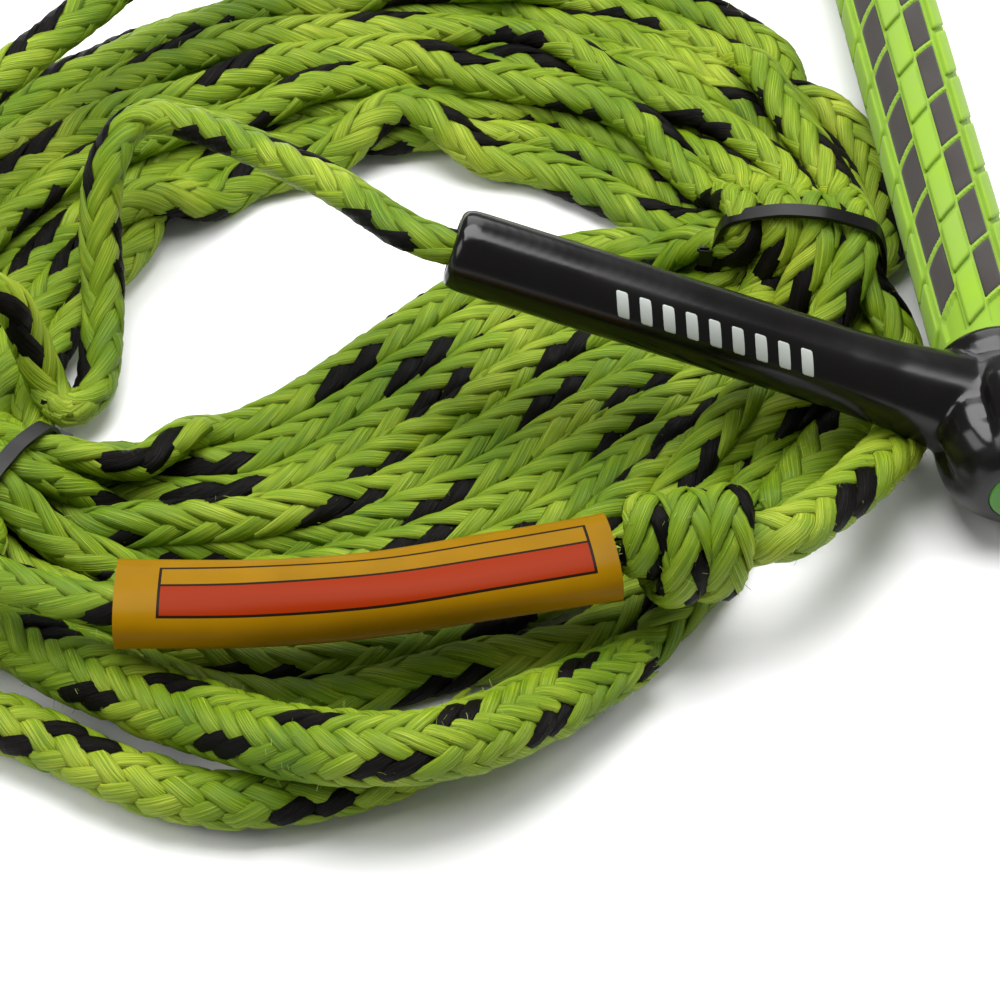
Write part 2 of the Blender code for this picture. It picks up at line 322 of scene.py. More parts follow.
def labelFinish():
    # a plain coloured band with a thin border, measured in millimetres along and round the sleeve
    sizes = {"bandStart": 12.0, "bandEnd": 124.0, "bandLow": -6.0, "bandHigh": 3.2, "lineWide": 0.75,
             "boxHigh": 9.6}
    yellow, orange, ink = (0.26, 0.130, 0.0012), (0.23, 0.020, 0.0012), (0.012, 0.006, 0.003)
    finish, tree, shader = newFinish("labelVinyl", yellow, 0.30, Specular_IOR_Level=0.04)
    lay = tree.nodes.new("ShaderNodeUVMap")
    lay.uv_map = "lay"
    split = addNode(tree, "ShaderNodeSeparateXYZ", Vector=lay.outputs["UV"])

    def inside(socket, low, high):
        above = addNode(tree, "ShaderNodeMath", {"operation": "GREATER_THAN"})
        below = addNode(tree, "ShaderNodeMath", {"operation": "LESS_THAN"})
        for check, edge in ((above, low), (below, high)):
            tree.links.new(split.outputs[socket], check.inputs[0])
            check.inputs[1].default_value = edge
        both = addNode(tree, "ShaderNodeMath", {"operation": "MULTIPLY"})
        tree.links.new(above.outputs[0], both.inputs[0])
        tree.links.new(below.outputs[0], both.inputs[1])
        return both.outputs[0]

    def times(a, b):
        both = addNode(tree, "ShaderNodeMath", {"operation": "MULTIPLY"})
        tree.links.new(a, both.inputs[0])
        tree.links.new(b, both.inputs[1])
        return both.outputs[0]

    def paint(base, colour, mask):
        mix = addNode(tree, "ShaderNodeMix", {"data_type": "RGBA"})
        tree.links.new(mask, mix.inputs["Factor"])
        tree.links.new(base, mix.inputs[6])
        mix.inputs[7].default_value = (*colour, 1)
        return mix.outputs[2]

    wide = sizes["lineWide"]
    place = tree.nodes.new("ShaderNodeTexCoord")
    broad = addNode(tree, "ShaderNodeTexNoise", Vector=place.outputs["Object"], Scale=60.0, Detail=3.0)
    base = rampOf(tree, broad.outputs["Fac"], [(0.3, [c * 0.86 for c in yellow]), (0.7, yellow)])
    start, end, low, high = (sizes[key] for key in ("bandStart", "bandEnd", "bandLow", "bandHigh"))
    top = sizes["boxHigh"]
    box = times(inside("X", start - wide, end + wide), inside("Y", low - wide, top + wide))
    face = times(inside("X", start, end), inside("Y", low, top))
    band = times(inside("X", start, end), inside("Y", low, high))
    rule = times(inside("X", start, end), inside("Y", high, high + wide))
    colour = paint(base, ink, box)
    bare = addNode(tree, "ShaderNodeMix", {"data_type": "RGBA"})
    tree.links.new(face, bare.inputs["Factor"])
    tree.links.new(colour, bare.inputs[6])
    tree.links.new(base, bare.inputs[7])
    colour = paint(paint(bare.outputs[2], orange, band), ink, rule)
    tree.links.new(colour, shader.inputs["Base Color"])
    addBump(tree, shader, broad.outputs["Fac"], 0.2, 0.0004)
    return finish


finishes = {
    "green": strandFinish("strandGreen", [(0.22, (0.032, 0.105, 0.0012)), (0.5, (0.150, 0.245, 0.0045)),
                                          (0.76, (0.40, 0.47, 0.040))], 0.45, 0.22, 0.08),
    "black": strandFinish("strandBlack", [(0.25, (0.0008, 0.0007, 0.0005)), (0.5, (0.002, 0.0015, 0.0012)),
                                          (0.75, (0.008, 0.006, 0.0045))], 0.42, 0.09, 0.0),
    "corner": mouldedFinish("cornerPlastic", (0.0035, 0.0030, 0.0028), 0.20, 900.0, 0.00002,
                            Specular_IOR_Level=0.34),
    "insert": mouldedFinish("insertRubber", (0.05, 0.20, 0.012), 0.5, 1500.0, 0.00006),
    "gripGreen": mouldedFinish("gripFoamGreen", (0.19, 0.34, 0.006), 0.72, 2600.0, 0.00012,
                               Sheen_Weight=0.15),
    "gripBlack": mouldedFinish("gripFoamBlack", (0.026, 0.020, 0.018), 0.85, 2200.0, 0.0002,
                               Sheen_Weight=0.2),
    "metal": mouldedFinish("tubeMetal", (0.70, 0.71, 0.72), 0.35, 1500.0, 0.00002, Metallic=1.0),
    "foam": mouldedFinish("floatFoam", (0.82, 0.80, 0.74), 0.9, 1200.0, 0.0003),
    "nylon": mouldedFinish("tieNylon", (0.003, 0.0027, 0.0025), 0.34, 1200.0, 0.00004,
                           Specular_IOR_Level=0.25),
    "print": mouldedFinish("armPrint", (0.42, 0.45, 0.42), 0.35, 1500.0, 0.00002),
    "fibre": mouldedFinish("looseFibre", (0.24, 0.34, 0.03), 0.5, 900.0, 0.00001),
    "label": labelFinish(),
}
strandFinishes = [finishes["green"], finishes["black"]]
print("finishes made:", len(finishes))

# camera and light
view = {"place": (-0.1522, -0.7573, 0.7527), "aim": (-0.0778, -0.1512, 0.025), "lens": 126.67,
        "near": 0.05, "sky": 0.22, "floorHalf": 3.0, "floorGrey": 0.93}
lights = {  # where each panel stands, what it points at, its size in metres and its power in watts
    "overhead": ((-0.10, 0.25, 1.15), (-0.07, -0.10, 0.0), 0.9, 20.0),
    "leftPanel": ((-1.05, -0.25, 0.85), (-0.07, -0.10, 0.02), 0.7, 6.5),
    "rightPanel": ((0.95, 0.05, 0.80), (0.0, -0.10, 0.02), 0.5, 6.0),
    "backPanel": ((0.10, 1.05, 0.75), (-0.05, -0.05, 0.03), 0.8, 6.0),
}


def aimAt(made, place, aim):
    turn = (Vector(aim) - Vector(place)).to_track_quat("-Z", "Y")
    made.matrix_world = Matrix.Translation(place) @ turn.to_matrix().to_4x4()


eye = bpy.data.objects.new("camera", bpy.data.cameras.new("camera"))
eye.data.lens = view["lens"]
eye.data.clip_start = view["near"]
bpy.context.scene.collection.objects.link(eye)
aimAt(eye, view["place"], view["aim"])
bpy.context.scene.camera = eye
bpy.context.scene.view_settings.view_transform = "Standard"
for label, (place, aim, size, power) in lights.items():
    panel = bpy.data.objects.new(label, bpy.data.lights.new(label, "AREA"))
    panel.data.size = size
    panel.data.energy = power
    bpy.context.scene.collection.objects.link(panel)
    aimAt(panel, place, aim)
world = bpy.data.worlds.new("studio")
world.use_nodes = True
world.node_tree.nodes["Background"].inputs["Color"].default_value = (1, 1, 1, 1)
world.node_tree.nodes["Background"].inputs["Strength"].default_value = view["sky"]
bpy.context.scene.world = world
floorData = bpy.data.meshes.new("floor")
half = view["floorHalf"]
floorData.from_pydata([(-half, -half, 0), (half, -half, 0), (half, half, 0), (-half, half, 0)], [],
                      [(0, 1, 2, 3)])
floor = bpy.data.objects.new("floor", floorData)
bpy.context.scene.collection.objects.link(floor)
floorData.materials.append(newFinish("paleFloor", (view["floorGrey"],) * 3, 0.6)[0])
print("camera, light and floor ready")

# braid: strands wound both ways round a flattened line, each passing over and under a few at a time
rope = {"width": 6.5, "thick": 4.9, "strands": 6, "float": 3, "pitch": 70.0, "strandWidth": 2.75,
        "strandThick": 1.15, "weave": 0.75, "black": (0, 1), "step": 2.5, "sides": 6}
thickRope = {"width": 11.2, "thick": 8.6, "strands": 12, "float": 3, "pitch": 82.0, "strandWidth": 2.25,
             "strandThick": 1.15, "weave": 1.0, "black": (0, 1, 6, 7), "step": 1.8, "sides": 8}
eyeRope = {"width": 8.5, "thick": 6.6, "strands": 6, "float": 3, "pitch": 62.0, "strandWidth": 3.2,
           "strandThick": 1.4, "weave": 0.95, "black": (0, 1), "step": 1.8, "sides": 8}
splicedRope = {"width": 8.6, "thick": 7.0, "strands": 8, "float": 2, "pitch": 84.0, "strandWidth": 2.7,
               "strandThick": 1.25, "weave": 0.95, "black": (0, 1), "step": 2.0, "sides": 8}


def tubeQuads(rows, around, first):
    row, column = np.meshgrid(np.arange(rows - 1), np.arange(around), indexing="ij")
    after = (column + 1) % around
    return first + np.stack([row * around + column, (row + 1) * around + column,
                             (row + 1) * around + after, row * around + after], -1).reshape(-1, 4)


def tubeCaps(rows, around, first):
    caps = []
    for start, atEnd in ((first, False), (first + (rows - 1) * around, True)):
        for k in range(around // 2 - 1):
            cap = [start + k, start + k + 1, start + around - 2 - k, start + around - 1 - k]
            caps.append(cap[::-1] if atEnd else cap)
    return np.array(caps)


def addTube(parts, centre, wide, out, breadth, depth, sides, slotNumber, shift):
    around = 2 * np.pi * np.arange(sides) / sides
    points = (centre[:, None, :] + wide[:, None, :] * (breadth[:, None] * np.cos(around))[..., None]
              + out[:, None, :] * (depth[:, None] * np.sin(around))[..., None])
    rows = len(centre)
    run = runAlong(centre) / 10
    row = np.repeat(np.arange(rows - 1), sides)
    column = np.tile(np.arange(sides), rows - 1)
    turn = np.arange(sides + 1) / sides
    uv = np.stack([np.stack([run[row + up], turn[column + over] + shift], -1)
                   for up, over in ((0, 0), (1, 0), (1, 1), (0, 1))], 1)
    caps = tubeCaps(rows, sides, parts["first"])
    parts["points"].append(points.reshape(-1, 3))
    parts["faces"] += [tubeQuads(rows, sides, parts["first"]), caps]
    parts["uvs"] += [uv, np.full((len(caps), 4, 2), 0.5)]
    parts["slots"].append(np.full(rows * sides - sides + len(caps), slotNumber))
    parts["first"] += rows * sides


def braidMesh(name, way, braid, roll=0.0, phase=0.0, up=None, seed=1, slim=None):
    way = evenWay(way, braid["step"])
    _, flat, rise = framesAlong(way, roll, upward if up is None else up(way))
    run = runAlong(way)
    dice = np.random.default_rng(seed)
    parts = {"points": [], "faces": [], "uvs": [], "slots": [], "first": 0}
    count = braid["strands"]
    inset = braid["weave"] + braid["strandThick"]
    size = np.ones(len(run)) if slim is None else np.interp(run[-1] - run, *slim)
    thin = np.clip(np.minimum(run, run[-1] - run) / 3.0, 0.3, 1) * size
    for winding in (1, -1):
        for strand in range(count):
            q = 2 * count * run / braid["pitch"] + phase * count / np.pi
            key = 2 * strand + q * winding
            over = np.cos(np.pi / braid["float"] * (key - (braid["float"] - 1) / 2))
            over = np.clip(1.6 * over, -1, 1) * winding
            angle = 2 * np.pi * strand / count + winding * (2 * np.pi * run / braid["pitch"] + phase)
            swing = dice.normal(size=max(4, int(run[-1] / 25)))
            loose = 1 + 0.04 * np.interp(run, np.linspace(0, run[-1], len(swing)), swing)
            reach = -inset + braid["weave"] * over
            centre = (way + flat * ((braid["width"] + reach) * loose * size * np.cos(angle))[:, None]
                      + rise * ((braid["thick"] + reach) * loose * size * np.sin(angle))[:, None])
            out = unit(flat * (np.cos(angle) / braid["width"])[:, None]
                       + rise * (np.sin(angle) / braid["thick"])[:, None])
            along = unit(np.gradient(centre, axis=0))
            wide = unit(np.cross(along, out))
            dark = winding > 0 and strand in braid["black"]
            addTube(parts, centre, wide, np.cross(wide, along),
                    braid["strandWidth"] * (1 + 0.1 * over) * thin,
                    braid["strandThick"] * (1 + 0.05 * over) * thin, braid["sides"],
                    1 if dark else 0, dice.random() * 7)
    inner = slice(1, -1)  # a plain core shuts the gaps between the strands
    addTube(parts, way[inner], flat[inner], rise[inner], size[inner] * (braid["width"] - 2 * inset + 0.6),
            size[inner] * (braid["thick"] - 2 * inset + 0.9), 8, 0, 0.0)
    made = meshFrom(name, np.concatenate(parts["points"]) * mm, np.concatenate(parts["faces"]),
                    strandFinishes, np.concatenate(parts["slots"]), np.concatenate(parts["uvs"]))
    return made, way


def layCord(node=None):
    if node:
        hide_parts(node)


# the line's turns: outer and inner edge of the coil at each station, and how high its underside is
coil = {
    "edges": [((44, -69), (-4, -59), 3.4), ((30, -113), (-7, -46), 0), ((-13, -153), (-24, -43), 0),
              ((-60, -184), (-60, -46), 0), ((-100, -194), (-102, -77), 0),
              ((-137, -190), (-135, -105), 0), ((-181, -177), (-169, -112), 0),
              ((-222, -148), (-196, -112), 3.4), ((-266, -106), (-214, -90), 0),
              ((-259, -37), (-207, -59), 0), ((-215, 24), (-179, -20), 0), ((-149, 62), (-133, 4), 0),
              ((-71, 71), (-79, 12), 0), ((2, 42), (-32, -2), 0), ((40, -17), (-5, -39), 0)],
    "start": [(-62, -207.0, 12.8), (-46, -194, 10.6), (-31, -176, 8)], "end": [(-222, -161, 33)],
    "turns": 11, "rim": 6.4, "gap": 12.0, "floor": 6.1, "squat": 1.22, "spacing": 7.0, "rounds": 260,
    "drop": 0.35, "pull": 0.02, "push": 1.25, "stiff": 0.07, "held": 8, "look": 7, "seed": 11,
    "keepOff": {"nearLeg": 12.0, "farLeg": 12.0, "grab": 16.2, "splice": 14.0, "lead": 12.0, "loop": 12.0,
                "sleeve": 15.0, "knot": 21.0}, "keepOffArm": 17.5, "keepOffGrip": 21.5, "keepOffBulb": 28.0,
    "order": (2, 1, 0, 14, 13, 12, 11, 10, 9, 8, 7, 6, 5, 4, 3),
    "topHeight": 38, "topAcross": {14: 0.8, 13: 0.7, 12: 0.6, 11: 0.5, 10: 0.4, 9: 0.3, 8: 0.2},
}
leftSlots = [(0, 0), (0, 1), (1, 0), (1, 1), (1, 2), (2, 0), (2, 1), (2, 2), (3, 0), (3, 1), (3, 2),
             (0, 2)]  # column and row of each pass under the left tie


def passPlace(station, turn, dice):
    outer, inner, under = coil["edges"][station]
    outer, inner = np.array(outer, float), np.array(inner, float)
    wide = np.linalg.norm(inner - outer)
    if station in (0, 7):
        column, row = (turn // 3, turn % 3) if station == 0 else leftSlots[turn]
        across = wide / 2 + (column - 1.5) * (wide - 2 * coil["rim"]) / 3 * (0.9 if row == 2 else 1.0)
        height = under + 5.2 + row * 10.2 - (3.2 if row == 2 and column in (0, 3) else 0)
    elif station <= 6:
        count = 12 if station < 3 else 11
        across = coil["rim"] + (turn + dice.normal() * 0.42) * (wide - 2 * coil["rim"]) / (count - 1)
        height = 6 + 9 * dice.random() + (10 if turn % 4 == 2 else 0)
    else:
        column, row = turn // 3, turn % 3
        across = coil["rim"] + (column + dice.normal() * 0.2) * (wide - 2 * coil["rim"]) / 3
        height = 5.5 + row * 10 + dice.random() * 2
        if turn == coil["turns"]:  # the last turn lies on top and works its way out
            across = wide * coil["topAcross"][station]
            height = coil["topHeight"]
    return (*(outer + (inner - outer) * across / wide), height)


def obstacles():  # points that the line keeps clear of, each with its reach
    found = []
    for label, reach in coil["keepOff"].items():
        points = evenWay(smoothWay(routes[label]), 5.0)
        if label == "grab":
            points = points[:-4]
        if label == "lead":
            points = points[4:]
        found.append(np.column_stack([points, np.full(len(points), reach)]))
    for side in (-1, 1):
        points = evenWay(np.array([(-83.35, side * 89.0, 60.0), (64.65, side * 137.0, 22.0)]), 5.0)
        found.append(np.column_stack([points, np.full(len(points), coil["keepOffArm"])]))
    grips = [(y, coil["keepOffGrip"]) for y in range(-116, 117, 6)]
    bulbs = [(-y, coil["keepOffBulb"]) for y in range(128, 158, 5)]
    for y, reach in grips + bulbs:
        found.append(np.array([[64.65, y, 22.0, reach]]))
    return np.concatenate(found)


def windCoil():
    dice = np.random.default_rng(coil["seed"])
    control = list(coil["start"])
    tied = []
    for turn in range(coil["turns"] + 1):
        for station in coil["order"][:11] if turn == coil["turns"] else coil["order"]:
            place = passPlace(station, turn, dice)
            if station in (0, 7):
                tied.append(place)
            control.append(place)
    control += coil["end"]
    way = evenWay(smoothWay(control, steps=10), coil["spacing"])
    target = way.copy()
    stretch = np.array([1, 1, coil["squat"]])
    pinned = np.zeros(len(way), bool)
    pinned[:3] = pinned[-3:] = True
    for place in tied:
        near = np.linalg.norm(way - place, axis=1)
        pinned |= near < coil["held"]
    block = obstacles()
    for rounds in range(coil["rounds"]):
        if rounds % 6 == 0:
            scaled = way * stretch
            apart = np.linalg.norm(scaled[:, None] - scaled[None], axis=2)
            first, second = np.nonzero(np.triu(apart < coil["gap"] + coil["look"], 4))
            toBlock = np.linalg.norm(way[:, None] - block[None, :, :3], axis=2)
            mover, still = np.nonzero(toBlock < block[None, :, 3] + 8)
        way[:, 2] -= coil["drop"]
        way[:, :2] += coil["pull"] * (target - way)[:, :2]
        delta = (way[first] - way[second]) * stretch
        apart = np.linalg.norm(delta, axis=1)
        push = np.maximum(coil["gap"] - apart, 0)[:, None] * delta / np.maximum(apart, 1e-6)[:, None]
        push = push / stretch
        move = np.zeros_like(way)
        hits = np.zeros(len(way))
        for rows, part in ((first, push * 0.5), (second, push * -0.5)):
            np.add.at(move, rows, part)
            np.add.at(hits, rows, np.abs(part).sum(1) > 0)
        delta = way[mover] - block[still, :3]
        apart = np.linalg.norm(delta, axis=1)
        push = np.maximum(block[still, 3] - apart, 0)[:, None] * delta / np.maximum(apart, 1e-6)[:, None]
        np.add.at(move, mover, push)
        np.add.at(hits, mover, np.abs(push).sum(1) > 0)
        way += coil["push"] * move / np.maximum(hits, 1)[:, None]
        bend = way[:-4] - 4 * way[1:-3] + 6 * way[2:-2] - 4 * way[3:-1] + way[4:]
        way[2:-2] -= coil["stiff"] * bend
        way[:, 2] = np.maximum(way[:, 2], coil["floor"])
        way[pinned] = target[pinned]
    return smoothWay(way, steps=3), np.array(tied)


lineWay, tied = windCoil()
mainLine = {"pieces": ("main_line_a", "main_line_b", "main_line_c"), "swing": 0.45, "swingEvery": 60,
            "diameter": 0.0126}
lineRoll = wander(int(runAlong(lineWay)[-1] / mainLine["swingEvery"]), 5, mainLine["swing"])
evenLine = evenWay(lineWay, rope["step"])
lineRoll = np.interp(np.linspace(0, 1, len(evenLine)), np.linspace(0, 1, len(lineRoll)), lineRoll)
cuts = np.linspace(0, len(evenLine) - 1, len(mainLine["pieces"]) + 1).astype(int)
for index, name in enumerate(mainLine["pieces"]):
    span = slice(cuts[index], cuts[index + 1] + 1)
    made, way = braidMesh(name, evenLine[span], rope, lineRoll[span], seed=20 + index,
                          phase=2 * math.pi * cuts[index] * rope["step"] / rope["pitch"])
    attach(made, "rope")
    layCord("main_line_coil")
print("main line wound")

# bridle legs: one length of rope from arm to arm, through the bend by the left tie
bend = [(-187.5, -86.5, 8.6), (-193.5, -90.5, 10.0)]
for name, route, sign, end in (
        ("bridle_leg_near", routes["nearLeg"] + bend + [(-197.5, -87.5, 13.0)], -1, 3),
        ("bridle_leg_far", routes["farLeg"][::-1] + bend[::-1], 1, 2)):
    inward = [(-80.4, sign * 89.9, 59.3)]
    made, way = braidMesh(name + "_braid", smoothWay(inward + route), rope, 0.35 * sign, phase=0.8,
                          seed=31 + sign)
    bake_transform(made)
    layCord(name)

# the loop lies a little above its solid, and the splice runs on under the grab section
laid = {
    "loop": [(-22, -179.4, 32.7), (-10.6, -179, 32.8), (-3.5, -178, 32.4), (3, -172, 30),
             (15, -160.5, 25), (26, -148, 20), (34, -137, 14.5), (37.5, -127, 9.5), (31, -120.5, 8),
             (21, -125, 8), (10, -138, 8), (-4, -154, 8)],
    "splice": routes["splice"][:-3] + [(-183, -219, 8.5), (-166, -227, 8.5), (-150, -230, 8.5),
                                       (-131, -228.5, 8.2), (-113, -224, 7.7), (-98, -216, 7.2),
                                       (-88, -206, 7.0)],
    "grab": routes["grab"],
}
grabTaper = ([0, 6, 34], [0.66, 0.7, 1.0])  # how the grab section slims towards the main line
for name, way, braid, width, phase, seed, slim in (
        ("grab_section", laid["grab"], thickRope, 0.0215, 0.4, 41, grabTaper),
        ("splice_section", laid["splice"], splicedRope, 0.0165, 1.1, 42, None),
        ("boat_end_loop", laid["loop"], eyeRope, 0.0156, 2.2, 44, None)):
    made, way = braidMesh(name + "_braid", smoothWay(way), braid, 0.2, phase=phase, seed=seed, slim=slim)
    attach(made, "rope")
    layCord(name)

# the boat-end knot: the rope wound round its own standing part
knot = {"turns": 2.75, "reachAcross": 10.6, "reachUp": 12.0, "spread": 29.0, "phase": -0.4, "steps": 70,
        "shut": 9}  # shut is how quickly the first and last turn close in
knotRope = dict(rope, width=7.0, black=(0, 1, 3), pitch=60.0)
leadMade, leadWay = braidMesh("label_lead_braid", smoothWay(routes["lead"]), rope, 0.1, phase=1.7, seed=43)
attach(leadMade, "rope")
knotStart, knotEnd = (np.array(place, float) for place in routes["knot"])
axis = unit(knotEnd - knotStart)
beside = unit(np.cross(axis, upward))
over = np.cross(beside, axis)
turns = np.linspace(0, knot["turns"] * 2 * np.pi, knot["steps"]) + knot["phase"]
share = np.linspace(0, 1, knot["steps"])
ease = np.clip(np.minimum(share, 1 - share) * knot["shut"], 0, 1) ** 0.7
margin = (np.linalg.norm(knotEnd - knotStart) - knot["spread"]) / 2
middle = knotStart + np.outer(margin + share * knot["spread"], axis)
wound = (middle + np.outer(knot["reachAcross"] * ease * np.cos(turns), beside)
         + np.outer(knot["reachUp"] * ease * np.sin(turns), over))
wound = np.concatenate([[knotStart], wound, [knotEnd]])


def fromAxis(way):
    along = (way - knotStart) @ axis
    return unit(way - (knotStart + np.outer(along, axis)) + upward * 0.01)


knotMade = braidMesh("boat_end_knot_braid", smoothWay(wound, steps=4), knotRope, 0.0, phase=1.9,
                     up=fromAxis, seed=45)[0]
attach(knotMade, "rope")
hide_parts("boat_end_knot")

# the label's sleeve: a flattened tube of soft vinyl
sleeve = {"wide": 26.5, "high": 16.5, "wall": 0.8, "power": 2.3, "dents": 0.5, "tilt": 0.12,
          "sides": 72, "flare": 0.02}
way = evenWay(smoothWay(routes["sleeve"]), 1.6)
_, flat, rise = framesAlong(way, sleeve["tilt"])
turns = 2 * np.pi * (np.arange(sleeve["sides"]) + 0.5) / sleeve["sides"]
dice = np.random.default_rng(8)
ripple = [(dice.uniform(0.03, 0.10), dice.integers(1, 4), dice.uniform(0, 6)) for _ in range(6)]
rings = []
for grow in (0.0, -sleeve["wall"]):
    part = []
    for row in range(len(way)):
        dent = sum(np.sin(turns * number + row * 1.6 * rate + turn) for rate, number, turn in ripple) / 6
        across = np.sign(np.cos(turns)) * np.abs(np.cos(turns)) ** (2 / sleeve["power"])
        above = np.sign(np.sin(turns)) * np.abs(np.sin(turns)) ** (2 / sleeve["power"])
        flare = 1 + sleeve["flare"] * math.exp(-min(row, len(way) - 1 - row) / 3)
        a = across * ((sleeve["wide"] / 2 + grow) * flare + sleeve["dents"] * dent)
        b = above * ((sleeve["high"] / 2 + grow) * flare + sleeve["dents"] * dent)
        part.append(way[row] + np.outer(a, flat[row]) + np.outer(b, rise[row]))
    rings += part if grow == 0 else part[::-1]
ringLoop = np.concatenate([rings[len(way) // 2], rings[len(way) // 2][:1]])
lengthRound = runAlong(ringLoop)
top = lengthRound[int(np.argmax(rings[len(way) // 2][:, 2]))]
rowRun = runAlong(way)
sleeveMade = skinRings("label_sleeve_vinyl", rings, [finishes["label"]], closedWay=True,
                       uvs=(np.concatenate([rowRun, rowRun[::-1], rowRun[:1]]), lengthRound - top))
sharpen(sleeveMade, 60)
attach(sleeveMade, "label")
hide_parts("label_sleeve")
layCord("label_lead")
print("cords laid")

# cable ties: a strap pulled round the bundle, and a locking head
ties = {"tie_right": 0, "tie_left": 7}
tie = {"width": 4.6, "thick": 1.2, "reach": 6.2, "headLong": 7.6, "headWide": 5.6, "headHigh": 5.2,
       "headOut": 2.2, "headUp": 17, "bundle": 40}


def strapOutline(places, outer):  # the tight closed line round the ropes in one bundle
    angles = np.linspace(0, 2 * np.pi, 240, endpoint=False)
    heads = np.stack([np.cos(angles), np.sin(angles)], 1)
    far = (places @ heads.T + outer).max(axis=0)
    for _ in range(10):
        far = 0.5 * far + 0.25 * (np.roll(far, 1) + np.roll(far, -1))
    slope = (np.roll(far, -1) - np.roll(far, 1)) / (2 * (angles[1] - angles[0]))
    return heads * far[:, None] + np.stack([-heads[:, 1], heads[:, 0]], 1) * slope[:, None]


for name, station in ties.items():
    outer, inner, under = coil["edges"][station]
    across = unit(np.array([*inner, 0.0]) - np.array([*outer, 0.0]))
    along = np.cross(across, upward)
    centre = (np.array([*inner, 0.0]) + np.array([*outer, 0.0])) / 2
    near = np.array([place for place in tied if np.linalg.norm((place - centre)[:2]) < tie["bundle"]])
    places = np.stack([(near - centre) @ across, near[:, 2]], 1)
    loops = []
    for grow, shift in ((tie["thick"], -0.5), (tie["thick"], 0.5), (0, 0.5), (0, -0.5)):
        line = strapOutline(places, tie["reach"] + grow)
        loops.append(centre + along * tie["width"] * shift + np.outer(line[:, 0], across)
                     + np.outer(line[:, 1], upward))
    made = skinRings(name + "_strap", loops, [finishes["nylon"]], closedWay=True)
    crown = centre + across * (line[:, 0].max() + tie["headOut"]) + upward * tie["headUp"]
    head = bmesh.new()
    bmesh.ops.create_cube(head, size=1.0)
    frameOf = Matrix((along, -upward, across)).transposed()
    headSize = Matrix.Diagonal((tie["headWide"], tie["headLong"], tie["headHigh"])).to_4x4()
    bmesh.ops.transform(head, matrix=headSize, verts=head.verts)
    bmesh.ops.bevel(head, geom=head.edges[:], offset=0.7, segments=2, affect="EDGES")
    bmesh.ops.transform(head, matrix=Matrix.Translation(crown) @ frameOf.to_4x4(), verts=head.verts)
    bmesh.ops.scale(head, vec=(mm, mm, mm), verts=head.verts)
    headData = bpy.data.meshes.new(name + "Head")
    head.to_mesh(headData)
    head.free()
    joined = bmesh.new()
    joined.from_mesh(made.data)
    joined.from_mesh(headData)
    joined.to_mesh(made.data)
    joined.free()
    sharpen(made, 35)
    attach(made, "rope")
    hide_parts(name)
print("ties pulled tight")

# short broken fibres that stand off the braid
fibre = {"Density": 0.0, "Length": 0.0042, "Thickness": 0.00007, "Curl": 55.0, "Tilt": 1.35,
         "Lowest": 0.006, "Seed": 3}
fibreAmounts = {"grab_section_braid": (11000.0, 3), "boat_end_loop_braid": (12000.0, 4),
                "boat_end_knot_braid": (12000.0, 5), "main_line_a": (2400.0, 7),
                "main_line_b": (2400.0, 8)}  # fibres to a square metre, and the seed


